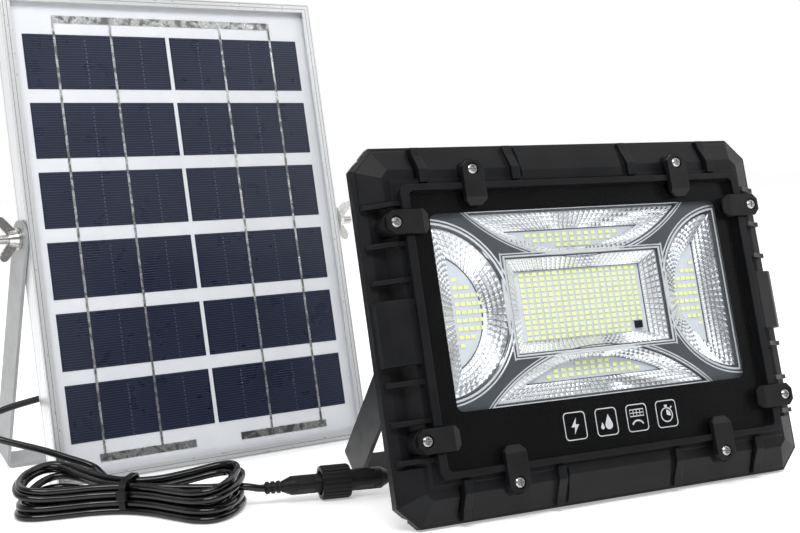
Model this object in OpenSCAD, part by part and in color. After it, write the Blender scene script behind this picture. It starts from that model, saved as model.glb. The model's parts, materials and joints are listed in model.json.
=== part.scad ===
/* [Lamp head] */
// Width over the housing's flange
lamp_w = 290; // [280:1:300]
// Height over the housing's flange
lamp_h = 219; // [214:1:224]
// Angle the head leans back from vertical, degrees
lamp_lean = 15; // [12:0.5:18]
// How far the rim round the glass stands in front of the flange
rim_rise = 14; // [13:0.5:16]
// Thickness of the front glass
lens_t = 4; // [3:0.5:4.5]
// Depth of the rear housing behind the flange
pan_depth = 50; // [50:1:56]

/* [Solar panel] */
// Width over the aluminium frame
panel_w = 235; // [232:1:238]
// Height over the aluminium frame
panel_h = 325; // [321:1:329]
// Angle the panel leans back from vertical, degrees
panel_lean = 12; // [10:0.5:14]
// Turn of the panel about the vertical, degrees
panel_turn = 8; // [6:0.5:10]
// Rows of cells, in two columns
cell_rows = 6; // [6:1:6]

/* [Stands] */
// Width of the lamp bracket's strip
lamp_strip_w = 25; // [22:0.5:25]
// Swing of the lamp bracket from straight down, degrees
lamp_arm_swing = 39; // [36:0.5:42]
// Width of the panel bracket's strip
panel_strip_w = 24; // [20:0.5:25]
// Swing of the panel bracket from straight down, degrees
panel_arm_swing = 20; // [18:0.5:24]

/* [Cable] */
// Diameter of the cable's sheath
cable_d = 4.5; // [4.2:0.1:5]
// Diameter of the connector's coupling nut
coupling_d = 21; // [20:0.5:22]

/* [Hidden] */
$fn = 48;
eps = 0.1;
far = 400;

// Places of the two units on the floor
lamp_at = [80.5, -164.7];
panel_at = [-89.5, 50.3];
// Shift that centres the two units' box on the origin
centring = [2.2, 0.9, 0];

// Lamp head
flange_t = 8;
corner_cut = 13;
pad_rise = 6.5;
mid_v = lamp_h / 2;
rim_w = lamp_w - 44;
rim_h = lamp_h - 51;
lens_w = rim_w - 11;
lens_h = rim_h - 8;
opening_w = lens_w - 10;
opening_h = lens_h - 10;
gasket_t = 1;
seat_d = -7.5;
stack_w = opening_w + 4;
stack_h = opening_h + 4;
lens_rear_d = seat_d - gasket_t;
lens_front_d = lens_rear_d - lens_t;
side_rib_v = [73.5, 50.5, 29.5, -28.5, -50.5, -72];
top_rib_x = [42.5, 105];
clamp_top_x = 74.5;
clamp_side_v = 62;
clamp_end_inset = 18;
clamp_side_inset = 16;
clamp_w = 14;
clamp_t = 3.6;
pan_w = 226;
pan_h = 186;
housing_screw_v = 96;
pan_rear_w = 206;
pan_rear_h = 158;
pan_wall = 3;
pivot_d = 22;
lamp_z = flange_t * sin(lamp_lean);
lamp_pivot_z = lamp_z - pivot_d * sin(lamp_lean) + mid_v * cos(lamp_lean);

// Optics, measured from the middle of the optics upward
optic_v = 119.5;
plate_d = -5.5;
plate_t = 1.2;
cup_front_d = plate_d + plate_t;
cup_rear_d = 4.4;
cup_wall = 1.2;
cup_relief = 0.4;
// Each size twice: at the cup's front, then at its rear
centre_cup_w = [112, 92];
centre_cup_h = [58, 43];
top_cup_chord = [57, 46];
top_cup_r = [113.8, 106.8];
top_cup_centre = 140.8;
side_cup_chord = [104, 90.5];
side_cup_r = [51.5, 37];
side_cup_centre = 108.5;
board_t = 1.6;
heat_plate_t = 2;
heat_plate_rear_d = cup_rear_d + board_t + heat_plate_t;
standoff_h = 4;

// Brackets
lamp_strip_t = 2.5;
lamp_arm_x = 118;
lamp_arm_len = (lamp_pivot_z - lamp_strip_w / 2 * sin(lamp_arm_swing)) / cos(lamp_arm_swing);
lamp_bolt_r = 4;
panel_strip_t = 2;
panel_arm_x = panel_w / 2 + 2.5;
swing_clearance = 0.08;

// Solar panel
rail_depth = 17;
rail_w = 12;
rail_wall = 1.5;
lip_w = 6;
ledge_d = 6.3;
flange_d = 16;
panel_pivot_d = 11.65;
panel_z = rail_depth * sin(panel_lean);
panel_pivot_z = panel_z - panel_pivot_d * sin(panel_lean) + panel_h / 2 * cos(panel_lean);
panel_arm_len = (panel_pivot_z - panel_strip_w / 2 * sin(panel_arm_swing)) / cos(panel_arm_swing);
panel_bolt_r = 3;
cell_w = 103;
cell_h = 37.5;
cell_pitch = 46.8;
cell_gap_x = 3;
cell_bottom = 26.3;
ribbon_w = 1.6;
left_ribbons = [-82.5, -42];
right_ribbons = [42, 82.5];
bus_w = 5;
box_v = 162;

// Cable and connector
connector_at = [-61.5, -68.7, 10.6];
connector_turn = -10;
hank_at = [-177.5, -26.7, 0];
hank_turn = -34;
hank_h = 21;
hank_lobe_h = 26;
hank_lobe_r = 35;
hank_lobe_x = 37;
hank_neck_w = 30;
tie_t = 1.2;
// Route from the junction box to the coiled cable
panel_route = [
    [-95.2, 90.7, 125.7], [-95, 89, 117.5], [-95.5, 88, 108], [-99, 87.5, 97], [-107, 87, 86],
    [-119, 87, 77], [-134, 87, 70], [-151, 86, 64.5], [-169, 85.5, 60], [-187, 85, 56.5],
    [-205, 83.5, 53.5], [-222, 80, 51], [-237, 73, 48.5], [-246.5, 62, 45.5], [-248, 50.5, 42],
    [-240.5, 42.5, 38], [-228, 39, 33.5], [-214, 37, 28.5], [-201, 34.5, 23], [-190, 29.6, 18],
    [-182.3, 20.5, 14], [-178.9, 10.5, 11]
];
// Route from the coiled cable to the connector
link_route = [[-116, -59.8, 12.8], [-112, -60.5, 12], [-108, -61, 11], [-104.2, -61.2, 10.6]];
// Route from the lamp's gland to the connector
lamp_route = [
    [150.5, -89.5, 31.6], [150.3, -83, 29.7], [149.6, -76, 26.4], [147.2, -70, 21.2], [142.3, -66.2, 15],
    [135, -64.5, 9.4], [125.5, -64.2, 5.4], [114, -64.8, 3.2], [100, -66.5, 2.6], [84, -68.5, 2.5],
    [68, -70.7, 2.5], [52, -72.8, 2.5], [36, -75, 2.5], [22, -76.5, 3], [10, -77.3, 4.6],
    [-1, -77.5, 7.4], [-10, -77.1, 9.8], [-16.8, -76.6, 10.6]
];

// ---------- Placing and shared shapes ----------

// The head's own frame: x across, y into the depth, z up the face
module in_lamp() {
    translate(centring + [lamp_at.x, lamp_at.y, lamp_z]) rotate([-lamp_lean, 0, 0]) children();
}

module in_panel() {
    translate(centring + [panel_at.x, panel_at.y, panel_z])
        rotate([0, 0, panel_turn]) rotate([-panel_lean, 0, 0]) children();
}

module in_connector() {
    translate(centring + connector_at) rotate([0, 0, connector_turn]) children();
}

module in_hank() {
    translate(centring + hank_at) rotate([0, 0, hank_turn]) children();
}

// A plate parallel to the face, from depth d0 to depth d1; its outline is drawn in x and height
module slab(d0, d1) {
    translate([0, d1, 0]) rotate([90, 0, 0]) linear_extrude(d1 - d0) children();
}

// The same, measured from the middle of the lamp's face
module lamp_slab(d0, d1) {
    translate([0, 0, mid_v]) slab(d0, d1) children();
}

module rounded(w, h, r) {
    square([w - 2 * r, h], center = true);
    square([w, h - 2 * r], center = true);
    for (x = [-1, 1], y = [-1, 1]) translate([x * (w / 2 - r), y * (h / 2 - r)]) circle(r);
}

module octagon(w, h, cut) {
    intersection() {
        square([w, h], center = true);
        rotate(45) square((w / 2 + h / 2 - cut) * sqrt(2), center = true);
    }
}

// A block whose width and height change evenly from depth d0 to depth d1
module tapered(w0, h0, w1, h1, d0, d1) {
    intersection() {
        translate([0, 0, -far / 2]) linear_extrude(far)
            polygon([[-w0 / 2, d0], [w0 / 2, d0], [w1 / 2, d1], [-w1 / 2, d1]]);
        translate([-far / 2, 0, 0]) rotate([90, 0, 90]) linear_extrude(far)
            polygon([[d0, -h0 / 2], [d0, h0 / 2], [d1, h1 / 2], [d1, -h1 / 2]]);
    }
}

// The head's octagon with edges that slope inward from depth d0 to depth d1
module tapered_octagon(inset0, inset1, d0, d1) {
    diagonal = (lamp_w / 2 + lamp_h / 2 - corner_cut) * sqrt(2);
    translate([0, 0, mid_v]) intersection() {
        tapered(lamp_w - 2 * inset0, lamp_h - 2 * inset0, lamp_w - 2 * inset1, lamp_h - 2 * inset1, d0, d1);
        rotate([0, 45, 0]) tapered(diagonal - 2 * inset0, diagonal - 2 * inset0,
            diagonal - 2 * inset1, diagonal - 2 * inset1, d0, d1);
    }
}

// A shape drawn in distance from the outline and rise over the flange, as long as len,
// standing on the right edge
module edge_profile(half, len, points) {
    translate([half, 0, -len / 2]) linear_extrude(len)
        polygon([for (p = points) [-p[0], -p[1]]]);
}

module each_edge_side(half, len, points) {
    for (side = [0, 180]) rotate([0, side, 0]) edge_profile(half, len, points);
}

// A strip bent into a U with its pivot axis along X and its arms pointing down
module u_bracket(arm_x, length, strip_w, strip_t, fold_r, foot_cut) {
    intersection() {
        rotate([90, 0, 0]) linear_extrude(strip_w, center = true) difference() {
            u_outline(arm_x, length, fold_r);
            u_outline(arm_x - strip_t, length - strip_t, fold_r - strip_t);
        }
        rotate([90, 0, 90]) linear_extrude(far, center = true) {
            circle(strip_w / 2);
            translate([-strip_w / 2, -length]) polygon([
                [0, 0], [strip_w - foot_cut, 0], [strip_w, foot_cut], [strip_w, length], [0, length]
            ]);
        }
    }
}

module u_outline(arm_x, length, fold_r) {
    translate([-arm_x + fold_r, -length]) square([2 * (arm_x - fold_r), length + 30]);
    translate([-arm_x, -length + fold_r]) square([2 * arm_x, length + 30 - fold_r]);
    for (x = [-1, 1]) translate([x * (arm_x - fold_r), -length + fold_r]) circle(fold_r);
}

module cross_recess(size, depth) {
    for (turn = [0, 90]) rotate(turn)
        translate([-size / 2, -size / 8, -depth]) cube([size, size / 4, depth + eps]);
}

// A pan-head screw with its head's underside at z = 0 and its shank downward
module pan_screw(head_r, head_h, shank_r, shank_len) {
    difference() {
        union() {
            cylinder(h = head_h * 0.6, r = head_r);
            translate([0, 0, head_h * 0.6]) cylinder(h = head_h * 0.4, r1 = head_r, r2 = head_r * 0.72);
        }
        translate([0, 0, head_h]) cross_recess(head_r * 1.2, head_h * 0.6);
    }
    translate([0, 0, -shank_len]) cylinder(h = shank_len + eps, r = shank_r);
}

// ---------- Lamp head ----------

rib_profile = [[2, -3], [2, 3], [7, 5], [17, 11.2], [24, 11.2], [24, -3]];
end_rib_profile = [[1.5, -3], [1.5, 4], [7, 6], [16, 11.2], [24, 11.2], [24, -3]];
end_slope_profile = [[2, -3], [2, 1.5], [16, 8], [24, 8], [24, -3]];
block_profile = [[1, -3], [1, 4.5], [6, 8.5], [18, 11.6], [24, 11.6], [24, -3]];
end_block_profile = [[2, -3], [2, 3.2], [9, 6.2], [18, 9.2], [24, 9.2], [24, -3]];

module edge_ribs() {
    for (v = side_rib_v) translate([0, 0, mid_v + v]) each_edge_side(lamp_w / 2, 2.8, rib_profile);
    for (x = top_rib_x, s = [-1, 1]) translate([s * x, 0, mid_v])
        rotate([0, 90, 0]) each_edge_side(lamp_h / 2, 5.5, end_rib_profile);
}

module edge_blocks() {
    translate([0, 0, mid_v]) each_edge_side(lamp_w / 2, 37, block_profile);
    translate([0, 0, mid_v]) rotate([0, 90, 0]) {
        each_edge_side(lamp_h / 2, 74, end_block_profile);
        each_edge_side(lamp_h / 2, 2 * top_rib_x[1] - 8, end_slope_profile);
    }
}

module corner_pads() {
    intersection() {
        tapered_octagon(2, 15, 1, -pad_rise);
        for (x = [-1, 1], z = [-1, 1])
            translate([x * (lamp_w / 2 - 18), 0, mid_v + z * (lamp_h / 2 - 17)])
                cube([36, 40, 34], center = true);
    }
}

// The middle of each clamp screw, on the four sides
module at_clamps() {
    for (x = [-1, 1], side = [0, 180]) translate([0, 0, mid_v]) rotate([0, side, 0])
        translate([x * clamp_top_x, lens_front_d, lamp_h / 2 - clamp_end_inset]) children();
    for (z = [-1, 1], side = [90, 270]) translate([0, 0, mid_v]) rotate([0, side, 0])
        translate([z * clamp_side_v, lens_front_d, lamp_w / 2 - clamp_side_inset]) children();
}

module front_frame() color("#1b1c1f") in_lamp() difference() {
    union() {
        difference() {
            lamp_slab(2, flange_t) octagon(lamp_w, lamp_h, corner_cut);
            rear_pocket();
        }
        tapered_octagon(0, 6, 2.01, 0);
        translate([0, 0, mid_v]) tapered(rim_w + 18, rim_h + 18, rim_w + 6, rim_h + 6, 1, -9);
        lamp_slab(-rim_rise, 1) rounded(rim_w, rim_h, 5);
        edge_ribs();
        edge_blocks();
        corner_pads();
        at_clamps() translate([0, -lens_front_d, 0]) rotate([90, 0, 0]) cylinder(h = -lens_front_d, r = 7);
    }
    lamp_slab(-rim_rise - eps, seat_d) rounded(lens_w + 0.6, lens_h + 0.6, 3.3);
    lamp_slab(-rim_rise - eps, flange_t + eps) rounded(opening_w, opening_h, 3);
    lamp_slab(plate_d, flange_t + eps) rounded(stack_w + 0.6, stack_h + 0.6, 3);
    // Slots that the clamps cross the rim through
    at_clamps() translate([-clamp_w / 2 - 0.4, -6, -22]) cube([clamp_w + 0.8, 6, 22]);
    at_clamps() translate([0, 9, 0]) rotate([90, 0, 0]) cylinder(h = 12, r = 1.45);
    at_housing_screws() translate([0, 0, -9]) cylinder(h = 9 + eps, r = 1.6);
}

// Hollow behind the flange, crossed by the bars that take the screws from behind
module rear_pocket() {
    translate([0, 0, mid_v]) difference() {
        tapered(lamp_w - 10, lamp_h - 10, lamp_w - 14, lamp_h - 14, flange_t + eps, 3);
        slab(0, 20) square([stack_w + 8, stack_h + 8], center = true);
        for (x = [-90, 0, 90]) slab(0, 20) translate([x, 0]) square([14, far], center = true);
        for (turn = [-45, 45]) slab(0, 20) rotate(turn) square([14, far], center = true);
    }
}

// The rear screws' places on the flange's rear face, pointing backward
module at_housing_screws() {
    for (x = [-90, 0, 90], z = [-1, 1]) translate([x, flange_t, mid_v + z * housing_screw_v])
        rotate([-90, 0, 0]) children();
}

module rear_housing() color("#1b1c1f") in_lamp() difference() {
    union() {
        lamp_slab(flange_t, flange_t + 3) rounded(pan_w, lamp_h - 20, 6);
        translate([0, 0, mid_v]) tapered(pan_w, pan_h, pan_rear_w, pan_rear_h, flange_t, pan_depth);
        for (side = [-1, 1]) translate([side * 106.7, pivot_d, mid_v]) rotate([0, 90, 0])
            cylinder(h = 13, r = 12, center = true);
        // Cooling fins
        for (i = [-5:5]) translate([i * 18 - 1.2, pan_depth - eps, 45]) cube([2.4, 6, 130]);
        translate([70, pan_depth - 1, 48]) rotate([-90, 0, 0]) cylinder(h = 5, r = 8);
    }
    translate([0, 0, mid_v]) tapered(pan_w - 2 * pan_wall, pan_h - 2 * pan_wall,
        pan_rear_w - 2 * pan_wall, pan_rear_h - 2 * pan_wall, flange_t - eps, pan_depth - pan_wall);
    for (side = [-1, 1]) translate([side * 110, pivot_d, mid_v]) rotate([0, 90, 0])
        cylinder(h = 30, r = lamp_bolt_r, center = true);
    translate([70, pan_depth - 10, 48]) rotate([-90, 0, 0]) cylinder(h = 20, r = 4.5);
    at_housing_screws() translate([0, 0, -eps]) cylinder(h = 5, r = 1.7);
}

module lens_gasket() color("#2a2a2c") in_lamp() lamp_slab(lens_rear_d, seat_d) difference() {
    rounded(lens_w, lens_h, 3);
    rounded(opening_w, opening_h, 3);
}

module front_glass() color([0.1, 0.1, 0.12, 0.5]) in_lamp()
    lamp_slab(lens_front_d, lens_rear_d) rounded(lens_w, lens_h, 3);

// A lug with bevelled corners at its screw and a sloping nose over the glass
module glass_clamp() {
    half = clamp_w / 2;
    nose = 21.5;
    difference() {
        intersection() {
            rotate([90, 0, 0]) linear_extrude(clamp_t) polygon([
                [-half, 1.8], [-3.4, 5.3], [3.4, 5.3], [half, 1.8],
                [half, 3.2 - nose], [half - 3, -nose], [3 - half, -nose], [-half, 3.2 - nose]
            ]);
            rotate([90, 0, 90]) linear_extrude(far, center = true) polygon([
                [0.1, 10], [-clamp_t, 10], [-clamp_t, 4.6 - nose], [-1.4, -nose], [0.1, -nose]
            ]);
        }
        rotate([90, 0, 0]) translate([0, 0, -eps]) cylinder(h = 10, r = 1.7);
        rotate([90, 0, 0]) translate([0, 0, 1.6]) cylinder(h = 10, r = 3.7);
    }
}

module glass_clamps() color("#17181a") in_lamp() at_clamps() glass_clamp();

module clamp_screws() color("silver") in_lamp() at_clamps()
    translate([0, -1.6, 0]) rotate([90, 0, 0]) pan_screw(3.3, 2.2, 1.45, 12);

module housing_screws() color("silver") in_lamp() at_housing_screws()
    translate([0, 0, 3]) pan_screw(3, 2, 1.6, 11);

// ---------- Optics ----------

module cup_centre(grow) {
    translate([0, 0, optic_v]) tapered(
        centre_cup_w[0] + grow, centre_cup_h[0] + grow,
        centre_cup_w[1] + grow, centre_cup_h[1] + grow, cup_front_d, cup_rear_d);
}

// A cup bounded by a straight sloping wall and a conical one
module cup_arc(chord, centre, r, grow) {
    intersection() {
        translate([0, cup_front_d, centre]) rotate([-90, 0, 0])
            cylinder(h = cup_rear_d - cup_front_d, r1 = r[0] + grow, r2 = r[1] + grow, $fn = 96);
        rotate([90, 0, 90]) linear_extrude(far, center = true) polygon([
            [cup_front_d, chord[0] + grow], [cup_rear_d, chord[1] + grow],
            [cup_rear_d, -far], [cup_front_d, -far]
        ]);
    }
}

module cup_top(grow) {
    translate([0, 0, optic_v]) cup_arc(top_cup_chord, top_cup_centre, top_cup_r, grow);
}

module cup_side(grow) {
    translate([0, 0, optic_v]) rotate([0, 90, 0])
        cup_arc(side_cup_chord, side_cup_centre, side_cup_r, grow);
}

module cup_shell(kind) {
    difference() {
        cup(kind, 2 * cup_wall);
        translate([0, -0.01, 0]) cup(kind, 0);
        translate([0, 0.01, 0]) cup(kind, 0);
        if (kind != "centre") cup_centre(2 * cup_wall + cup_relief);
    }
}

module cup(kind, grow) {
    if (kind == "centre") cup_centre(grow);
    if (kind == "top") cup_top(grow / 2);
    if (kind == "bottom") translate([0, 0, 2 * optic_v]) mirror([0, 0, 1]) cup_top(grow / 2);
    if (kind == "right") cup_side(grow / 2);
    if (kind == "left") mirror([1, 0, 0]) cup_side(grow / 2);
}

module reflector_plate() color("#55585c") in_lamp() slab(plate_d, cup_front_d) difference() {
    translate([0, mid_v]) rounded(stack_w, stack_h, 3);
    translate([0, optic_v]) {
        square([centre_cup_w[0], centre_cup_h[0]], center = true);
        for (turn = [0, 180]) rotate(turn)
            cup_outline(top_cup_chord[0], top_cup_centre, top_cup_r[0]);
        for (turn = [-90, 90]) rotate(turn)
            cup_outline(side_cup_chord[0], side_cup_centre, side_cup_r[0]);
    }
}

// A circle that a straight line cuts off on its far side
module cup_outline(chord, centre, r) {
    intersection() {
        translate([0, centre]) circle(r, $fn = 96);
        translate([-far / 2, chord - far]) square(far);
    }
}

module reflector_centre() color("gainsboro") in_lamp() cup_shell("centre");
module reflector_top() color("gainsboro") in_lamp() cup_shell("top");
module reflector_bottom() color("gainsboro") in_lamp() cup_shell("bottom");
module reflector_left() color("gainsboro") in_lamp() cup_shell("left");
module reflector_right() color("gainsboro") in_lamp() cup_shell("right");

// The board behind a cup: the cup's own rear outline, carried back by the board's thickness
module led_board(kind) color("white") in_lamp() intersection() {
    translate([0, board_t, 0]) cup(kind, 2);
    translate([-far / 2, cup_rear_d, -far / 2]) cube([far, board_t, 2 * far]);
}

module infrared_sensor() color("#111111") in_lamp()
    translate([36.5, cup_rear_d - 1.8, 100.5]) cube([5, 1.8, 4.4]);

control_at = [30, heat_plate_rear_d + standoff_h, 66];
control_w = 66;
control_h = 88;

module at_standoffs() {
    for (x = [5, control_w - 5], z = [5, control_h - 5])
        translate([control_at.x + x, heat_plate_rear_d, control_at.z + z]) rotate([-90, 0, 0]) children();
}

module heat_plate() color("silver") in_lamp() difference() {
    union() {
        lamp_slab(cup_rear_d + board_t, heat_plate_rear_d) rounded(stack_w, stack_h, 3);
        at_standoffs() translate([0, 0, -eps]) cylinder(h = standoff_h + eps, r = 3.2);
    }
    at_standoffs() translate([0, 0, -1]) cylinder(h = standoff_h + 2, r = 1.25);
}

module control_board() color("#1f6b3a") in_lamp() difference() {
    translate(control_at) cube([control_w, board_t, control_h]);
    at_standoffs() cylinder(h = standoff_h + 5, r = 1.6);
}

module board_screws() color("silver") in_lamp() at_standoffs()
    translate([0, 0, standoff_h + board_t]) pan_screw(2.6, 1.8, 1.25, 5);

module board_parts() color("#2b2b2e") in_lamp() translate(control_at + [0, board_t, 0]) {
    for (p = [[16, 70], [30, 70]]) translate([p[0], 0, p[1]]) rotate([-90, 0, 0]) cylinder(h = 14, r = 5);
    translate([44, 0, 60]) cube([14, 8, 18]);
    for (z = [10, 26, 42]) translate([10, 0, z]) cube([12, 2, 9]);
    for (z = [8, 22]) translate([44, 0, z]) cube([14, 9, 10]);
}

battery_r = 16;
battery_d = 26;

module at_cells() {
    for (i = [-1:1]) translate([-42, battery_d, mid_v + i * 33]) rotate([0, 90, 0]) children();
}

module battery_cells() color("#2f66a8") in_lamp() at_cells() {
    cylinder(h = 66, r = battery_r, center = true);
    translate([0, 0, 33]) cylinder(h = 1.5, r = 4);
}

module battery_cradle() color("#26272a") in_lamp() difference() {
    translate([-80, battery_d + 8, mid_v - 52]) cube([76, pan_depth - pan_wall - battery_d - 8, 104]);
    at_cells() cylinder(h = 69.4, r = battery_r, center = true);
}

module lamp_cable_gland() color("#17181a") in_lamp() translate([70, pan_depth + 4, 48])
    rotate([-90, 0, 0]) {
        cylinder(h = 5, r = 7, $fn = 6);
        translate([0, 0, 5 - eps]) cylinder(h = 6 + eps, r1 = 6, r2 = 3.9);
        translate([0, 0, -12]) cylinder(h = 12 + eps, r = 4.5);
    }

// ---------- Lamp bracket ----------

module at_lamp_pivot() {
    in_lamp() translate([0, pivot_d, mid_v]) rotate([lamp_lean, 0, 0]) children();
}

module lamp_bracket() color("#202124") at_lamp_pivot() rotate([lamp_arm_swing, 0, 0]) difference() {
    u_bracket(lamp_arm_x, lamp_arm_len, lamp_strip_w, lamp_strip_t, 6, 5);
    rotate([0, 90, 0]) cylinder(h = far, r = lamp_bolt_r + swing_clearance, center = true);
    translate([0, 0, -lamp_arm_len - 5]) cylinder(h = 10, r = 5.25);
    for (x = [-50, 50]) translate([x, 0, -lamp_arm_len - 5]) cylinder(h = 10, r = 4.25);
}

module lamp_pivot_bolts() color("silver") at_lamp_pivot() for (side = [0, 180]) rotate([0, 0, side]) {
    translate([100, 0, 0]) rotate([0, 90, 0]) cylinder(h = 20, r = lamp_bolt_r);
    translate([lamp_arm_x + 2, 0, 0]) rotate([0, 90, 0]) {
        cylinder(h = 1.6, r = 9);
        translate([0, 0, 1.6 - eps]) cylinder(h = 5.4, r = 7.2, $fn = 6);
    }
}

module lamp_washers() color("dimgray") at_lamp_pivot() for (side = [0, 180]) rotate([0, 0, side])
    for (span = [[113.2, 115.3], [lamp_arm_x + 0.2, lamp_arm_x + 2]])
        translate([span[0], 0, 0]) rotate([0, 90, 0]) difference() {
            cylinder(h = span[1] - span[0], r = 10);
            translate([0, 0, -eps]) cylinder(h = 5, r = lamp_bolt_r);
        }

// ---------- Solar panel ----------

// The rail's section in x (inward) and depth
module rail_section() {
    square([rail_wall, rail_depth]);
    square([lip_w, rail_wall]);
    translate([0, ledge_d]) square([8, 1]);
    translate([0, flange_d]) square([rail_w, rail_depth - flange_d]);
}

// A rail on the left of a frame w wide and h high, mitred at its ends
module rail(w, h) {
    intersection() {
        translate([-w / 2, 0, 0]) linear_extrude(h) rail_section();
        slab(-1, rail_depth + 1) polygon([
            [-w / 2, 0], [-w / 2, h], [-w / 2 + rail_w + 2, h - rail_w - 2],
            [-w / 2 + rail_w + 2, rail_w + 2]
        ]);
    }
}

module side_rail() {
    difference() {
        rail(panel_w, panel_h);
        translate([0, panel_pivot_d, panel_h / 2]) rotate([0, -90, 0])
            cylinder(h = panel_w, r = panel_bolt_r);
    }
}

module end_rail() {
    rotate([0, -90, 0]) translate([panel_h / 2, 0, -panel_w / 2]) rail(panel_h, panel_w);
}

module panel_rail_left() color("silver") in_panel() side_rail();
module panel_rail_right() color("silver") in_panel() mirror([1, 0, 0]) side_rail();
module panel_rail_bottom() color("silver") in_panel() end_rail();
module panel_rail_top() color("silver") in_panel()
    translate([0, 0, panel_h]) mirror([0, 0, 1]) end_rail();

module corner_keys() color("gray") in_panel()
    for (x = [0, 1], z = [0, 1]) translate([0, 0, z * panel_h]) mirror([0, 0, z]) mirror([x, 0, 0])
        translate([-panel_w / 2 + rail_wall, 0, rail_wall]) slab(ledge_d + 1, flange_d) {
            square([30, 6]);
            square([6, 30]);
        }

module laminate(d0, d1) {
    translate([0, 0, panel_h / 2]) slab(d0, d1)
        square([panel_w - 2 * rail_wall, panel_h - 2 * rail_wall], center = true);
}

glass_rear_d = 4.3;
ribbon_t = 0.15;
cell_t = 0.3;
cell_front_d = glass_rear_d + ribbon_t;

module panel_glass() color([0.8, 0.9, 1, 0.3]) in_panel() laminate(rail_wall, glass_rear_d);

module solar_cells() color("#1a2340") in_panel()
    for (row = [0:cell_rows - 1], side = [-1, 1])
        translate([side * (cell_w + cell_gap_x) / 2, 0, cell_bottom + row * cell_pitch + cell_h / 2])
            slab(cell_front_d, cell_front_d + cell_t) square([cell_w, cell_h], center = true);

module cell_ribbons() color("gainsboro") in_panel() {
    low = cell_bottom - 9;
    high = cell_bottom + (cell_rows - 1) * cell_pitch + cell_h + 8;
    for (x = concat(left_ribbons, right_ribbons)) translate([x - ribbon_w / 2, glass_rear_d, low])
        cube([ribbon_w, ribbon_t, high - low]);
    bus_bar(left_ribbons[0], right_ribbons[1], high);
    bus_bar(left_ribbons[0] - 3, -18, low - bus_w);
    bus_bar(18, right_ribbons[1] + 3, low - bus_w);
}

module bus_bar(x0, x1, v) {
    translate([x0 - ribbon_w / 2, glass_rear_d, v]) cube([x1 - x0 + ribbon_w, ribbon_t, bus_w]);
}

module backsheet() color("whitesmoke") in_panel() laminate(cell_front_d + cell_t, ledge_d);

box_w = 56;
box_h = 44;
box_rear_d = 22;

module junction_box() color("#151617") in_panel() translate([0, 0, box_v]) difference() {
    slab(ledge_d, box_rear_d) rounded(box_w, box_h, 4);
    slab(ledge_d + 2, box_rear_d + 1) rounded(box_w - 5, box_h - 5, 2);
    translate([0, 14.5, -box_h / 2 - 1]) cylinder(h = 5, r = 3.4);
}

module junction_box_lid() color("#1b1c1e") in_panel() translate([0, 0, box_v]) {
    slab(box_rear_d, box_rear_d + 2) rounded(box_w + 1, box_h + 1, 4);
    slab(box_rear_d - 2, box_rear_d + 0.1) rounded(box_w - 5.4, box_h - 5.4, 2);
}

module bypass_diode() color("#0e0e10") in_panel() translate([-8, ledge_d + 5, box_v]) {
    rotate([0, 90, 0]) cylinder(h = 9, r = 2.7);
    for (x = [-9, 9]) translate([x, 0, 0]) rotate([0, 90, 0]) cylinder(h = 9, r = 0.6);
    for (x = [-9, 17.4]) translate([x, 0, 0]) rotate([90, 0, 0]) cylinder(h = 3, r = 0.6);
}

module panel_cable_gland() color("#151617") in_panel()
    translate([0, 14.5, box_v - box_h / 2]) rotate([180, 0, 0]) {
        translate([0, 0, -4]) cylinder(h = 4 + eps, r = 3.4);
        cylinder(h = 4, r = 5.5, $fn = 6);
        translate([0, 0, 4 - eps]) cylinder(h = 8, r1 = 5, r2 = 3.4);
    }

module at_panel_pivot() {
    in_panel() translate([0, panel_pivot_d, panel_h / 2]) rotate([panel_lean, 0, 0]) children();
}

module panel_bracket() color("lightgray") at_panel_pivot() rotate([panel_arm_swing, 0, 0]) difference() {
    u_bracket(panel_arm_x, panel_arm_len, panel_strip_w, panel_strip_t, 5, 8);
    rotate([0, 90, 0]) cylinder(h = far, r = panel_bolt_r + swing_clearance, center = true);
    for (x = [-40, 0, 40]) translate([x, 0, -panel_arm_len - 5]) cylinder(h = 10, r = 3.25);
}

module panel_pivot_bolts() color("silver") at_panel_pivot() for (side = [0, 180]) rotate([0, 0, side]) {
    translate([panel_w / 2 - rail_wall - 1, 0, 0]) rotate([0, 90, 0]) cylinder(h = 20, r = panel_bolt_r);
    rotate([side == 0 ? -panel_lean : panel_lean, 0, 0])
        translate([panel_w / 2 - rail_wall - 3.2, -4.3, -7]) cube([3.2, 8.6, 14]);
}

washer_x = panel_arm_x + 0.2;
washer_t = 1.2;

module panel_washers() color("silver") at_panel_pivot() for (side = [0, 180]) rotate([0, 0, side])
    translate([washer_x, 0, 0]) rotate([0, 90, 0]) difference() {
        cylinder(h = washer_t, r = 7);
        translate([0, 0, -eps]) cylinder(h = 3, r = panel_bolt_r);
    }

// One wing, drawn out along the bolt and away from it
module wing(turn) {
    rotate([0, 0, turn]) rotate([90, 0, 0]) linear_extrude(3, center = true) {
        polygon([[2.5, 0.8], [5.2, 0.3], [13.8, 7.6], [11.6, 12.2], [8.6, 11.4], [2.5, 6.4]]);
        translate([11.9, 9.9]) circle(2.8);
    }
}

module wing_nut(side) {
    at_panel_pivot() rotate([0, 0, side]) translate([washer_x + washer_t + 0.2, 0, 0])
        rotate([0, 90, 0]) difference() {
            union() {
                cylinder(h = 6, r1 = 5.8, r2 = 4.6);
                wing(10);
                wing(190);
            }
            translate([0, 0, -eps]) cylinder(h = 20, r = panel_bolt_r + swing_clearance);
        }
}

module wing_nut_left() color("silver") wing_nut(180);
module wing_nut_right() color("silver") wing_nut(0);

// ---------- Cable ----------

function unit(v) = v / norm(v);
function tangent(p, i) = unit(p[min(i + 1, len(p) - 1)] - p[max(i - 1, 0)]);
function across(v, t) = unit(v - (v * t) * t);
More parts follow.
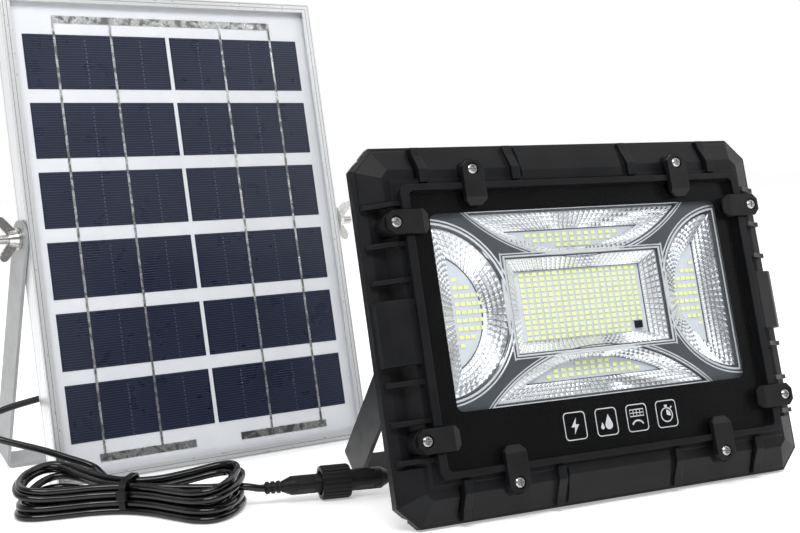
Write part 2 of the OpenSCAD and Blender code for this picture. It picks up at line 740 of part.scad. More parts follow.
// Side directions of the rings, each turned as little as possible from the one before
function ring_sides(p) = [
    for (i = 0, s = across([1, 0.3, 0.2], tangent(p, 0)); i < len(p);
        i = i + 1, s = across(s, tangent(p, min(i, len(p) - 1)))) s
];

module tube(route, d, sides) {
    dirs = ring_sides(route);
    points = [
        for (i = [0:len(route) - 1], k = [0:sides - 1])
            let (a = 360 * k / sides, s = dirs[i], n = cross(tangent(route, i), s))
                route[i] + d / 2 * (cos(a) * s + sin(a) * n)
    ];
    last = (len(route) - 1) * sides;
    walls = [
        for (i = [0:len(route) - 2], k = [0:sides - 1])
            let (a = i * sides + k, b = i * sides + (k + 1) % sides) [a, a + sides, b + sides, b]
    ];
    polyhedron(points, concat(
        [[for (k = [0:sides - 1]) k]], walls, [[for (k = [sides - 1:-1:0]) last + k]]
    ), convexity = 8);
}

module cable_from_panel() color("#141415") translate(centring) tube(panel_route, cable_d, 8);
module cable_to_connector() color("#141415") translate(centring) tube(link_route, cable_d, 8);
module cable_from_lamp() color("#141415") translate(centring) tube(lamp_route, cable_d, 8);

module cable_hank() color("#141415") in_hank() {
    for (x = [-1, 1]) translate([x * hank_lobe_x, 0, 0]) cylinder(h = hank_lobe_h, r = hank_lobe_r);
    translate([-30, -hank_neck_w / 2, 0]) cube([60, hank_neck_w, hank_h]);
}

module cable_tie() color("#0d0d0e") in_hank() translate([-1.8, 0, hank_h / 2])
    rotate([90, 0, 90]) linear_extrude(3.6) difference() {
        square([hank_neck_w + 2 * tie_t, hank_h], center = true);
        square([hank_neck_w - tie_t, hank_h - 2 * tie_t], center = true);
    }

// ---------- Connector ----------

module turned(x0, x1, r0, r1) {
    translate([x0, 0, 0]) rotate([0, 90, 0]) cylinder(h = x1 - x0, r1 = r0, r2 = r1);
}

// Three soft ribs and the cone they grow out of
module ribbed_relief(x, dir, body_r) {
    for (i = [0:2]) {
        rib_x = x + dir * (2 + i * 3.4);
        turned(rib_x - 0.9, rib_x + 0.9, 3.8, 3.8);
    }
    turned(min(x, x + dir * 10.4), max(x, x + dir * 10.4), 2.9, 2.9);
    if (dir < 0) turned(x - eps, x + 6, 3.3, body_r);
    else turned(x - 6, x + eps, body_r, 3.3);
}

module grip_flats(x0, x1, r) {
    for (a = [45:90:315]) rotate([a, 0, 0])
        translate([x0, -2.6, r - 0.7]) cube([x1 - x0, 5.2, 3]);
}

thread_r = 7.5;
bore_r = 4.3;

module socket_body() color("#1a1b1d") in_connector() difference() {
    union() {
        ribbed_relief(-33, -1, 5.8);
        turned(-27, -7, 5.8, 5.8);
        turned(-7.1, 2, thread_r, thread_r);
    }
    turned(-8, 3, bore_r, bore_r);
    grip_flats(-24, -13, 5.8);
    for (y = [-1.8, 1.8]) translate([0, y, 0]) turned(-14, -7, 0.8, 0.8);
}

module plug_body() color("#1a1b1d") in_connector() difference() {
    union() {
        ribbed_relief(35, 1, 6.7);
        turned(3.4, 29.1, 6.7, 6.7);
        turned(3.2, 5.8, 7.4, 7.4);
        turned(-5, 3.3, bore_r - 0.1, bore_r - 0.1);
    }
    grip_flats(13, 25, 6.7);
    for (y = [-1.8, 1.8]) translate([0, y, 0]) turned(-6, 2, 0.8, 0.8);
}

module connector_seal() color("#8c2f22") in_connector() turned_ring(2, 3.2, thread_r - 0.4, bore_r);

module turned_ring(x0, x1, outer, inner) {
    difference() {
        turned(x0, x1, outer, outer);
        turned(x0 - 1, x1 + 1, inner, inner);
    }
}

module contact_pins() color("gold") in_connector()
    for (y = [-1.8, 1.8]) translate([0, y, 0]) turned(-13, 1, 0.75, 0.75);

module coupling_nut() color("#1a1b1d") in_connector() difference() {
    union() {
        turned(-9, 9, coupling_d / 2 - 0.7, coupling_d / 2 - 0.7);
        for (a = [0:15:345]) rotate([a, 0, 0]) translate([0, 0, coupling_d / 2 - 1])
            turned(-8.2, 8.2, 0.95, 0.95);
    }
    turned(-10, 6.1, thread_r + swing_clearance, thread_r + swing_clearance);
    turned(5, 10, 6.7 + swing_clearance, 6.7 + swing_clearance);
}

front_frame();
rear_housing();
lens_gasket();
front_glass();
glass_clamps();
clamp_screws();
housing_screws();
reflector_plate();
reflector_centre();
reflector_top();
reflector_bottom();
reflector_left();
reflector_right();
led_board("centre");  // led_board_centre
led_board("top");  // led_board_top
led_board("bottom");  // led_board_bottom
led_board("left");  // led_board_left
led_board("right");  // led_board_right
infrared_sensor();
heat_plate();
control_board();
board_parts();
board_screws();
battery_cells();
battery_cradle();
lamp_cable_gland();
lamp_bracket();
lamp_pivot_bolts();
lamp_washers();
panel_rail_left();
panel_rail_right();
panel_rail_top();
panel_rail_bottom();
corner_keys();
panel_glass();
solar_cells();
cell_ribbons();
backsheet();
junction_box();
junction_box_lid();
bypass_diode();
panel_cable_gland();
panel_bracket();
panel_pivot_bolts();
panel_washers();
wing_nut_left();
wing_nut_right();
cable_from_panel();
cable_hank();
cable_tie();
cable_to_connector();
cable_from_lamp();
socket_body();
plug_body();
connector_seal();
contact_pins();
coupling_nut();
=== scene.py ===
"""Solar flood light: the looks of the lamp head, the solar panel, their brackets and the cable."""

import json
import math

import bpy
from mathutils import Matrix, Vector


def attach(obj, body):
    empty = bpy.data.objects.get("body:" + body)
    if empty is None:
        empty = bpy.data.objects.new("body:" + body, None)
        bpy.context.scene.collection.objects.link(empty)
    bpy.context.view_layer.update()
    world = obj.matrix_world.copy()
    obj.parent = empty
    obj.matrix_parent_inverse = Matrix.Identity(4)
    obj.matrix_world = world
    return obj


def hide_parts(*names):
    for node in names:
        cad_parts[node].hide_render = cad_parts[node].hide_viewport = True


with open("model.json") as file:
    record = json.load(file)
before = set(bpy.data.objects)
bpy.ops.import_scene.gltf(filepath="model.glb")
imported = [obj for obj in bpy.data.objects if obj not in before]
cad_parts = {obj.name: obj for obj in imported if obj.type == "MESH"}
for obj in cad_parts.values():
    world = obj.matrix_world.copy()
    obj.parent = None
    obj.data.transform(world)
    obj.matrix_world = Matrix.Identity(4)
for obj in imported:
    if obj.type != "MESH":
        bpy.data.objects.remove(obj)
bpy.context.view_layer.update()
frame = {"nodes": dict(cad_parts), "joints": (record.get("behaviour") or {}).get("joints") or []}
NODES = frame["nodes"]
JOINTS = {j["name"]: j for j in frame["joints"]}
MM = 0.001

# ---------------------------------------------------------------- sizes, in millimetres

LAMP_LEAN = 15
LAMP_H = 219
LAMP_MID_V = LAMP_H / 2
LAMP_PIVOT_D = 22
PANEL_LEAN = 12
PANEL_TURN = 8
PANEL_SIZE = (235, 325)
PANEL_MID_V = PANEL_SIZE[1] / 2
PANEL_PIVOT_D = 11.65
# The shift from the drawing's origin, which the cables' ways are given from, to the frame's
CENTRING = Vector((2.2, 0.9, 0))

GLASS_REAR_D = -8.5
OPTIC_V = 119.5
WINDOW = (208, 115)
CUP_FRONT_D = -4.3
CUP_REAR_D = 4.4

CABLE_D = 4.5
HANK_AT = Vector((-177.5, -26.7, 0))
HANK_TURN = -34

# The cables' ways: down from the panel's gland, and from the lamp head's gland to the connector
PANEL_ROUTE = [
    (-95.2, 90.7, 125.7), (-95, 89, 117.5), (-95.5, 88, 108), (-99, 87.5, 97), (-107, 87, 86),
    (-119, 87, 77), (-134, 87, 70), (-151, 86, 64.5), (-169, 85.5, 60), (-187, 85, 56.5),
    (-205, 83.5, 53.5), (-222, 80, 51), (-237, 73, 48.5), (-246.5, 62, 45.5), (-248, 50.5, 42),
    (-240.5, 42.5, 38), (-228, 39, 33.5), (-214, 37, 28.5), (-201, 34.5, 23),
]
# On to the coil and away from it, in the coil's own frame
INTO_COIL = [(-38, 41.5, 16.5), (-29, 34.5, 13), (-19.5, 25.5, 9), (-9.5, 16.8, 4.9)]
OUT_OF_COIL = [(13, 0.8, 13.9), (26, 1.4, 13.4), (40, 2.9, 13), (54, 4.9, 12.8), (63, 6.2, 12.8)]
LINK_ROUTE = [(-116, -59.8, 12.8), (-112, -60.5, 12), (-108, -61, 11), (-104.2, -61.2, 10.6)]
LAMP_ROUTE = [
    (150.5, -89.5, 31.6), (150.3, -83, 29.7), (149.6, -76, 26.4), (147.2, -70, 21.2), (142.3, -66.2, 15),
    (135, -64.5, 9.4), (125.5, -64.2, 5.4), (114, -64.8, 3.2), (100, -66.5, 2.6), (84, -68.5, 2.5),
    (68, -70.7, 2.5), (52, -72.8, 2.5), (36, -75, 2.5), (22, -76.5, 3), (10, -77.3, 4.6),
    (-1, -77.5, 7.4), (-10, -77.1, 9.8), (-16.8, -76.6, 10.6),
]


def turn_z(degrees):
    return Matrix.Rotation(math.radians(degrees), 4, "Z")


def turn_x(degrees):
    return Matrix.Rotation(math.radians(degrees), 4, "X")


def unit_frame(joint, rotation, pivot):
    """The frame of a unit whose pivot lies at that point of its own, in millimetres."""
    at = Vector(JOINTS[joint]["pos_m"]) - rotation @ (Vector(pivot) * MM)
    return Matrix.Translation(at) @ rotation @ Matrix.Scale(MM, 4)


LAMP = unit_frame("lamp_bracket_swing", turn_x(-LAMP_LEAN), (0, LAMP_PIVOT_D, LAMP_MID_V))
PANEL = unit_frame("panel_bracket_swing", turn_z(PANEL_TURN) @ turn_x(-PANEL_LEAN),
                   (0, PANEL_PIVOT_D, PANEL_MID_V))


# ---------------------------------------------------------------- camera

# Place in metres, then pan, tilt and roll in degrees
CAMERA_AT = (-0.3922, -0.8163, 0.2134)
CAMERA_TURNS = (-27.0, -5.0, 1.3)
CAMERA_LENS = 61.16


def add_camera():
    data = bpy.data.cameras.new("camera")
    data.sensor_width = 36
    data.lens = CAMERA_LENS
    data.clip_start = 0.01
    camera = bpy.data.objects.new("camera", data)
    bpy.context.scene.collection.objects.link(camera)
    pan, tilt, roll = CAMERA_TURNS
    turn = turn_z(pan) @ turn_x(tilt) @ Matrix.Rotation(math.radians(roll), 4, "Y") @ turn_x(90)
    camera.matrix_world = Matrix.Translation(CAMERA_AT) @ turn
    bpy.context.scene.camera = camera


add_camera()


# ---------------------------------------------------------------- materials

class Shader:
    """A Principled material with a few procedural layers."""

    def __init__(self, name, rough, metal=0.0, **sockets):
        self.mat = bpy.data.materials.new(name)
        self.mat.use_nodes = True
        self.nodes = self.mat.node_tree.nodes
        self.links = self.mat.node_tree.links
        self.bsdf = self.nodes["Principled BSDF"]
        self.bsdf.inputs["Roughness"].default_value = rough
        self.bsdf.inputs["Metallic"].default_value = metal
        for socket, value in sockets.items():
            self.bsdf.inputs[socket.replace("_", " ")].default_value = value
        self.coords = self.nodes.new("ShaderNodeTexCoord").outputs["Object"]
        self.normal = None

    def stretched(self, scale, turn=(0, 0, 0)):
        mapping = self.nodes.new("ShaderNodeMapping")
        mapping.inputs["Scale"].default_value = scale
        mapping.inputs["Rotation"].default_value = [math.radians(a) for a in turn]
        self.links.new(self.coords, mapping.inputs["Vector"])
        return mapping.outputs["Vector"]

    def noise(self, scale, detail=2.0, vector=None, distortion=0.0):
        node = self.nodes.new("ShaderNodeTexNoise")
        node.inputs["Scale"].default_value = scale
        node.inputs["Detail"].default_value = detail
        node.inputs["Distortion"].default_value = distortion
        self.links.new(vector or self.coords, node.inputs["Vector"])
        return node.outputs["Fac"]

    def cells(self, scale):
        node = self.nodes.new("ShaderNodeTexVoronoi")
        node.inputs["Scale"].default_value = scale
        self.links.new(self.coords, node.inputs["Vector"])
        return node.outputs["Distance"]

    def ramp(self, value, low, high, to_low=0.0, to_high=1.0):
        node = self.nodes.new("ShaderNodeMapRange")
        node.inputs["From Min"].default_value = low
        node.inputs["From Max"].default_value = high
        node.inputs["To Min"].default_value = to_low
        node.inputs["To Max"].default_value = to_high
        self.links.new(value, node.inputs["Value"])
        return node.outputs["Result"]

    def colour(self, factor, first, second):
        node = self.nodes.new("ShaderNodeMix")
        node.data_type = "RGBA"
        node.inputs["A"].default_value = (*first, 1)
        node.inputs["B"].default_value = (*second, 1)
        self.links.new(factor, node.inputs["Factor"])
        self.links.new(node.outputs["Result"], self.bsdf.inputs["Base Color"])
        return self

    def roughness(self, factor, low, high):
        self.links.new(self.ramp(factor, 0.3, 0.7, low, high), self.bsdf.inputs["Roughness"])
        return self

    def bump(self, height, strength, distance):
        node = self.nodes.new("ShaderNodeBump")
        node.inputs["Strength"].default_value = strength
        node.inputs["Distance"].default_value = distance
        self.links.new(height, node.inputs["Height"])
        if self.normal:
            self.links.new(self.normal, node.inputs["Normal"])
        self.normal = node.outputs["Normal"]
        self.links.new(self.normal, self.bsdf.inputs["Normal"])
        return self

    def glow_by_side(self, direction, waves, low, high, strength):
        """Painted reflection: brighter and darker sides by the way each face turns, as a facet shows in a
        room of white screens.
        """
        dot = self.nodes.new("ShaderNodeVectorMath")
        dot.operation = "DOT_PRODUCT"
        dot.inputs[1].default_value = direction
        normal = self.nodes.new("ShaderNodeTexCoord").outputs["Normal"]
        self.links.new(normal, dot.inputs[0])
        wave = self.nodes.new("ShaderNodeMath")
        wave.operation = "MULTIPLY"
        wave.inputs[1].default_value = waves
        self.links.new(dot.outputs["Value"], wave.inputs[0])
        swing = self.nodes.new("ShaderNodeMath")
        swing.operation = "SINE"
        self.links.new(wave.outputs["Value"], swing.inputs[0])
        glow = self.ramp(swing.outputs["Value"], low, high, 0, strength)
        self.links.new(glow, self.bsdf.inputs["Emission Strength"])
        return self

    def rounded_edges(self, radius):
        node = self.nodes.new("ShaderNodeBevel")
        node.samples = 4
        node.inputs["Radius"].default_value = radius
        self.normal = node.outputs["Normal"]
        self.links.new(self.normal, self.bsdf.inputs["Normal"])
        return self


def cast_black():
    s = Shader("cast_black", 0.4, Specular_IOR_Level=0.2)
    s.rounded_edges(0.0009)
    s.colour(s.ramp(s.noise(35, 4), 0.35, 0.7), (0.0055, 0.0058, 0.0068), (0.0085, 0.0088, 0.0100))
    s.roughness(s.noise(60, 3), 0.34, 0.46)
    s.bump(s.noise(900, 2), 0.18, 0.0002)
    return s.bump(s.cells(1500), 0.12, 0.0001).mat


def moulded_black(name="moulded_black", rough=0.42):
    s = Shader(name, rough, Specular_IOR_Level=0.24)
    s.rounded_edges(0.0005)
    s.colour(s.ramp(s.noise(90, 3), 0.35, 0.7), (0.006, 0.0062, 0.007), (0.0095, 0.0098, 0.0108))
    s.roughness(s.noise(140, 2), rough - 0.06, rough + 0.06)
    return s.bump(s.noise(1400, 2), 0.10, 0.0001).mat


def coated_steel(name, first, second, rough=0.42):
    s = Shader(name, rough, Coat_Weight=0.15, Coat_Roughness=0.3)
    s.rounded_edges(0.0005)
    s.colour(s.ramp(s.noise(50, 3), 0.35, 0.7), first, second)
    s.roughness(s.noise(120, 3), rough - 0.06, rough + 0.08)
    return s.bump(s.cells(900), 0.10, 0.00012).mat


def plated_steel(name="plated_steel", rough=0.24, tint=(0.62, 0.61, 0.60), metal=1.0):
    s = Shader(name, rough, metal)
    s.rounded_edges(0.0003)
    s.colour(s.ramp(s.noise(220, 4), 0.3, 0.75), tint, tuple(c * 0.82 for c in tint))
    s.roughness(s.noise(420, 3), rough - 0.04, rough + 0.08)
    return s.bump(s.noise(350, 2), 0.05, 0.0001).mat


def brushed(name, scale, tint, rough=0.3):
    """Metal with fine drawn lines; the stretch's small number is the way they run."""
    s = Shader(name, rough, 1.0)
    s.rounded_edges(0.0004)
    lines = s.noise(1.0, 3, s.stretched(scale, (0, 0, -PANEL_TURN)))
    s.colour(s.ramp(lines, 0.3, 0.7), tint, tuple(c * 0.9 for c in tint))
    s.roughness(lines, rough - 0.05, rough + 0.08)
    return s.bump(lines, 0.05, 0.0001).mat


def anodised(name, along):
    """Drawn aluminium that has been anodised white-silver."""
    s = Shader(name, 0.34, 0.6, Specular_IOR_Level=0.6)
    s.rounded_edges(0.0002)
    lines = s.noise(1.0, 3, s.stretched(along, (0, 0, -PANEL_TURN)))
    s.colour(s.ramp(lines, 0.3, 0.7), (0.84, 0.85, 0.86), (0.76, 0.77, 0.785))
    s.roughness(lines, 0.27, 0.36)
    return s.bump(lines, 0.02, 0.00005).mat


SCHLICK_POWER = 5
GRAZING_GLOSS = 0.8


def clear_pane(name, tint, gloss, rough=0.02):
    """Thin glass: what is behind shows through, and both faces mirror more at a grazing angle."""
    mat = bpy.data.materials.new(name)
    mat.use_nodes = True
    nodes, links = mat.node_tree.nodes, mat.node_tree.links
    nodes.remove(nodes["Principled BSDF"])
    through = nodes.new("ShaderNodeBsdfTransparent")
    through.inputs["Color"].default_value = (*tint, 1)
    shine = nodes.new("ShaderNodeBsdfGlossy")
    shine.inputs["Roughness"].default_value = rough
    angle = nodes.new("ShaderNodeLayerWeight")
    angle.inputs["Blend"].default_value = 0.5
    power = nodes.new("ShaderNodeMath")
    power.operation = "POWER"
    power.inputs[1].default_value = SCHLICK_POWER
    links.new(angle.outputs["Facing"], power.inputs[0])
    schlick = nodes.new("ShaderNodeMapRange")
    schlick.inputs["To Min"].default_value = gloss
    schlick.inputs["To Max"].default_value = GRAZING_GLOSS
    links.new(power.outputs["Value"], schlick.inputs["Value"])
    mix = nodes.new("ShaderNodeMixShader")
    links.new(schlick.outputs["Result"], mix.inputs["Fac"])
    links.new(through.outputs["BSDF"], mix.inputs[1])
    links.new(shine.outputs["BSDF"], mix.inputs[2])
    links.new(mix.outputs["Shader"], nodes["Material Output"].inputs["Surface"])
    return mat


def metallised(name, metal, rough, tint):
    """Vacuum-metallised plastic."""
    s = Shader(name, rough, metal)
    s.colour(s.ramp(s.noise(260, 3), 0.3, 0.7), tint, tuple(c * 0.9 for c in tint))
    s.roughness(s.noise(300, 2), rough - 0.04, rough + 0.04)
    return s.bump(s.noise(300, 1), 0.04, 0.0001).mat


def facet_metal():
    """A bright prism; part of its brightness is a painted reflection, a glow by the way each face turns, in
    place of the screens it would mirror.
    """
    s = Shader("facet_metal", 0.16, 0.85, Emission_Color=(1, 1, 1, 1))
    s.colour(s.ramp(s.noise(260, 3), 0.3, 0.7), (0.96, 0.96, 0.97), (0.88, 0.88, 0.89))
    s.roughness(s.noise(300, 2), 0.12, 0.2)
    return s.glow_by_side(direction=(-0.45, -0.55, 0.70), waves=11.0, low=0.25, high=1.0, strength=0.5).mat


def printed_black():
    s = Shader("printed_black", 0.25, Specular_IOR_Level=0.2)
    s.colour(s.ramp(s.noise(40, 2), 0.3, 0.7), (0.0022, 0.0022, 0.0024), (0.0034, 0.0034, 0.0037))
    return s.roughness(s.noise(30, 2), 0.22, 0.28).mat


def reflector_grey():
    s = Shader("reflector_grey", 0.38)
    s.colour(s.ramp(s.noise(30, 3), 0.3, 0.7), (0.070, 0.075, 0.082), (0.090, 0.095, 0.103))
    s.roughness(s.noise(200, 2), 0.32, 0.46)
    return s.bump(s.noise(1200, 2), 0.08, 0.0001).mat


def solder_mask(name, first, second, rough=0.35):
    s = Shader(name, rough, Coat_Weight=0.3, Coat_Roughness=0.2)
    s.colour(s.ramp(s.noise(120, 3), 0.35, 0.7), first, second)
    s.roughness(s.noise(300, 2), rough - 0.08, rough + 0.08)
    return s.bump(s.noise(900, 2), 0.06, 0.0001).mat


def phosphor():
    s = Shader("phosphor", 0.55, Emission_Strength=0.26, Emission_Color=(0.95, 1.0, 0.38, 1))
    s.colour(s.ramp(s.noise(700, 2), 0.35, 0.7), (0.82, 0.86, 0.26), (0.88, 0.90, 0.36))
    return s.bump(s.noise(2400, 2), 0.10, 0.0001).mat


def silicon():
    """Blue-black cell with a faint, wide mottle."""
    s = Shader("silicon", 0.3, Specular_IOR_Level=0.5, Coat_Weight=0.3, Coat_Roughness=0.12)
    mottle = s.ramp(s.noise(14, 2, distortion=0.4), 0.3, 0.7)
    s.colour(mottle, (0.0075, 0.0105, 0.031), (0.0125, 0.0155, 0.040))
    s.roughness(s.noise(60, 2), 0.26, 0.34)
    return s.bump(s.noise(500, 1), 0.03, 0.00005).mat


def solder_ribbon():
    """Hand-soldered ribbon: ridges and hollows along it, with painted sparkle: the colour runs from dull grey
    in the hollows to white on the ridges.
    """
    s = Shader("solder_ribbon", 0.3, 0.85)
    relief_and_painted_sparkle = s.noise(190, 4, distortion=0.6)
    s.colour(s.ramp(relief_and_painted_sparkle, 0.40, 0.58), (0.26, 0.26, 0.25), (1.0, 1.0, 0.98))
    s.roughness(relief_and_painted_sparkle, 0.42, 0.22)
    return s.bump(relief_and_painted_sparkle, 0.5, 0.0006).mat


def cell_silver(name, tint):
    """Thin screen-printed silver."""
    s = Shader(name, 0.5, 0.2)
    s.colour(s.ramp(s.noise(400, 2), 0.3, 0.7), tint, tuple(c * 0.85 for c in tint))
    return s.roughness(s.noise(300, 2), 0.42, 0.55).mat


def backing_white():
    s = Shader("backing_white", 0.5)
    s.colour(s.ramp(s.noise(60, 3), 0.35, 0.7), (0.86, 0.862, 0.865), (0.90, 0.902, 0.905))
    s.roughness(s.noise(200, 2), 0.42, 0.58)
    return s.bump(s.noise(1000, 2), 0.05, 0.0001).mat


def cable_sheath():
    """Glossy black sheath with the slight waviness of extruded plastic."""
    s = Shader("cable_sheath", 0.16, Specular_IOR_Level=0.5)
    s.colour(s.ramp(s.noise(120, 3), 0.35, 0.7), (0.0030, 0.0030, 0.0034), (0.0055, 0.0055, 0.006))
    s.roughness(s.noise(240, 3), 0.09, 0.18)
    s.bump(s.noise(140, 2), 0.14, 0.0003)
    return s.bump(s.noise(1500, 2), 0.05, 0.0001).mat


def rubber(name, first, second):
    s = Shader(name, 0.7, Specular_IOR_Level=0.3)
    s.colour(s.ramp(s.noise(200, 3), 0.35, 0.7), first, second)
    s.roughness(s.noise(400, 2), 0.62, 0.8)
    return s.bump(s.noise(1800, 2), 0.15, 0.0001).mat


def shrink_sleeve():
    s = Shader("shrink_sleeve", 0.3, Coat_Weight=0.4, Coat_Roughness=0.15)
    s.colour(s.ramp(s.noise(80, 3), 0.35, 0.7), (0.02, 0.13, 0.42), (0.03, 0.17, 0.50))
    s.roughness(s.noise(200, 3), 0.22, 0.4)
    return s.bump(s.noise(300, 2, s.stretched((1, 8, 8))), 0.12, 0.0002).mat


def print_white():
    s = Shader("print_white", 0.5)
    s.colour(s.ramp(s.noise(200, 2), 0.35, 0.7), (0.60, 0.61, 0.62), (0.70, 0.71, 0.72))
    return s.bump(s.noise(1500, 2), 0.05, 0.00005).mat


MAT = {
    "cast": cast_black(),
    "moulded": moulded_black(),
    "bracket_black": coated_steel("bracket_black", (0.012, 0.012, 0.013), (0.020, 0.020, 0.021)),
    "bracket_grey": coated_steel("bracket_grey", (0.30, 0.31, 0.315), (0.35, 0.36, 0.365), 0.38),
    "plated": plated_steel(),
    "wing": plated_steel("wing_plated", 0.2, (0.72, 0.70, 0.68)),
    "rail_up": anodised("anodised_up", (900, 900, 12)),
    "rail_across": anodised("anodised_across", (12, 900, 900)),
    "aluminium": brushed("rolled_aluminium", (20, 700, 700), (0.76, 0.77, 0.78)),
    "lamp_glass": clear_pane("lamp_glass", (0.94, 0.95, 0.96), 0.012),
    "panel_glass": clear_pane("panel_glass", (0.97, 0.975, 0.985), 0.008, 0.06),
    # The cups' metal is drawn at half the rims' brightness: painted shade, so the gaps between the prisms
    # look dark.
    "cup": metallised("cup_metal_shaded", 0.9, 0.25, (0.50, 0.50, 0.51)),
    "facet": facet_metal(),
    "rim": metallised("rim_metal", 0.3, 0.22, (0.97, 0.97, 0.98)),
    "print_black": printed_black(),
    "plate": reflector_grey(),
    "mask_white": solder_mask("mask_white", (0.79, 0.815, 0.85), (0.83, 0.855, 0.89)),
    "mask_green": solder_mask("mask_green", (0.010, 0.085, 0.035), (0.018, 0.12, 0.05)),
    "phosphor": phosphor(),
    "silicon": silicon(),
    # The rails' lines are painted shade: dark grey strips for the shade in the rails' grooves and corners.
    "rail_shade": cell_silver("rail_shade_grey", (0.24, 0.245, 0.25)),
    "finger": cell_silver("finger_silver", (0.085, 0.095, 0.135)),
    "pad": cell_silver("pad_silver", (0.17, 0.18, 0.22)),
    "tinned": solder_ribbon(),
    "backing": backing_white(),
    "sheath": cable_sheath(),
    "seal_black": rubber("seal_black", (0.012, 0.012, 0.012), (0.02, 0.02, 0.02)),
    "seal_red": rubber("seal_red", (0.36, 0.05, 0.03), (0.44, 0.07, 0.04)),
    "sleeve": shrink_sleeve(),
    "gold": plated_steel("gold_flash", 0.22, (0.78, 0.60, 0.26)),
    "print_white": print_white(),
}

NODE_LOOKS = {
    "cast": ["front_frame", "rear_housing"],
    "moulded": ["glass_clamps", "battery_cradle", "board_parts", "lamp_cable_gland", "junction_box",
                "junction_box_lid", "bypass_diode", "panel_cable_gland", "socket_body", "plug_body",
                "coupling_nut", "infrared_sensor"],
    "bracket_black": ["lamp_bracket"],
    "bracket_grey": ["panel_bracket"],
    "plated": ["clamp_screws", "housing_screws", "board_screws", "lamp_pivot_bolts", "lamp_washers",
               "panel_pivot_bolts", "panel_washers"],
    "wing": ["wing_nut_left", "wing_nut_right"],
    "rail_up": ["panel_rail_left", "panel_rail_right"],
    "rail_across": ["panel_rail_top", "panel_rail_bottom"],
    "aluminium": ["corner_keys", "heat_plate"],
    "lamp_glass": ["front_glass"],
    "panel_glass": ["panel_glass"],
    "cup": ["reflector_centre", "reflector_top", "reflector_bottom", "reflector_left", "reflector_right"],
    "plate": ["reflector_plate"],
    "mask_white": ["led_board_centre", "led_board_top", "led_board_bottom", "led_board_left",
                   "led_board_right"],
    "mask_green": ["control_board"],
    "silicon": ["solar_cells"],
    "tinned": ["cell_ribbons"],
    "backing": ["backsheet"],
    "seal_black": ["lens_gasket"],
    "seal_red": ["connector_seal"],
    "sleeve": ["battery_cells"],
    "gold": ["contact_pins"],
}


def dress_cad_nodes():
    for look, names in NODE_LOOKS.items():
        for name in names:
            NODES[name].data.materials.clear()
            NODES[name].data.materials.append(MAT[look])


# ---------------------------------------------------------------- building pieces

def add_piece(name, verts, faces, matrix, look, body="stand", smooth=False):
    """A mesh given in a unit's own millimetres, placed by that unit's frame."""
    mesh = bpy.data.meshes.new(name)
    mesh.from_pydata([matrix @ Vector(v) for v in verts], [], faces)
    mesh.polygons.foreach_set("use_smooth", [smooth] * len(mesh.polygons))
    mesh.materials.append(MAT[look])
    mesh.validate()
    mesh.update()
    piece = bpy.data.objects.new(name, mesh)
    bpy.context.scene.collection.objects.link(piece)
    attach(piece, body)
    return piece


class Build:
    """Collects faces in a unit's own millimetres."""

    def __init__(self):
        self.verts, self.faces = [], []

    def add(self, points, faces):
        start = len(self.verts)
        self.verts += [tuple(p) for p in points]
        self.faces += [tuple(start + i for i in f) for f in faces]

    def box(self, x0, x1, d0, d1, v0, v1, bevel=0.0):
        """A block; its front edges are cut back by the bevel."""
        b = bevel
        front = [(x0 + b, d0, v0 + b), (x1 - b, d0, v0 + b), (x1 - b, d0, v1 - b), (x0 + b, d0, v1 - b)]
        waist = [(x0, d0 + b, v0), (x1, d0 + b, v0), (x1, d0 + b, v1), (x0, d0 + b, v1)]
        back = [(x0, d1, v0), (x1, d1, v0), (x1, d1, v1), (x0, d1, v1)]
        sides = [(r + i, r + (i + 1) % 4, r + 4 + (i + 1) % 4, r + 4 + i) for r in (0, 4) for i in range(4)]
        self.add(front + waist + back, [(0, 1, 2, 3), (11, 10, 9, 8)] + [tuple(reversed(s)) for s in sides])

    def strip(self, inner, outer, closed=True):
        """Quads between two lines with as many points each."""
        n = len(inner)
        faces = [(i, (i + 1) % n, n + (i + 1) % n, n + i) for i in range(n if closed else n - 1)]
        self.add(list(inner) + list(outer), faces)


def smooth_line(points, step):
    """A Catmull-Rom curve through the points, sampled about every step."""
    points = [Vector(p) for p in points]
    ends = [points[0] * 2 - points[1]] + points + [points[-1] * 2 - points[-2]]
    line = []
    for a, b, c, d in zip(ends, ends[1:], ends[2:], ends[3:]):
        count = max(2, round((c - b).length / step))
        for i in range(count):
            t = i / count
            line.append(0.5 * (2 * b + (c - a) * t + (2 * a - 5 * b + 4 * c - d) * t ** 2
                               + (3 * b - a - 3 * c + d) * t ** 3))
    return line + [points[-1]]


def add_cord(name, line, diameter, look):
    """A cord along a line in row millimetres."""
    curve = bpy.data.curves.new(name, "CURVE")
    curve.dimensions = "3D"
    curve.bevel_depth = diameter / 2 * MM
    curve.bevel_resolution = 5
    curve.use_fill_caps = True
    spline = curve.splines.new("POLY")
    spline.points.add(len(line) - 1)
    for point, place in zip(spline.points, line):
        point.co = (*(place * MM), 1)
    spline.use_smooth = True
    curve.materials.append(MAT[look])
    piece = bpy.data.objects.new(name, curve)
    bpy.context.scene.collection.objects.link(piece)
    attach(piece, "stand")
    return piece


# ---------------------------------------------------------------- cords

# Each turn of the coil: half-length, half-width at the neck, extra width of the lobes, height, lobes' rise
HANK_TURNS = [
    (67.5, 11.6, 60, 2.35, 0.0),
    (61.0, 6.6, 54, 2.35, 0.3),
    (66.5, 10.8, 57, 7.0, 0.4),
    (60.5, 5.8, 50, 7.0, 1.0),
    (62.0, 4.6, 52, 11.6, 11.5),
    (67.5, 9.6, 58, 11.8, 12.0),
    (64.8, 7.1, 56, 15.8, 12.0),
    (66.0, 0.6, 58, 14.2, 9.0),
]


def in_hank(x, y, z):
    return HANK_AT + turn_z(HANK_TURN) @ Vector((x, y, z))


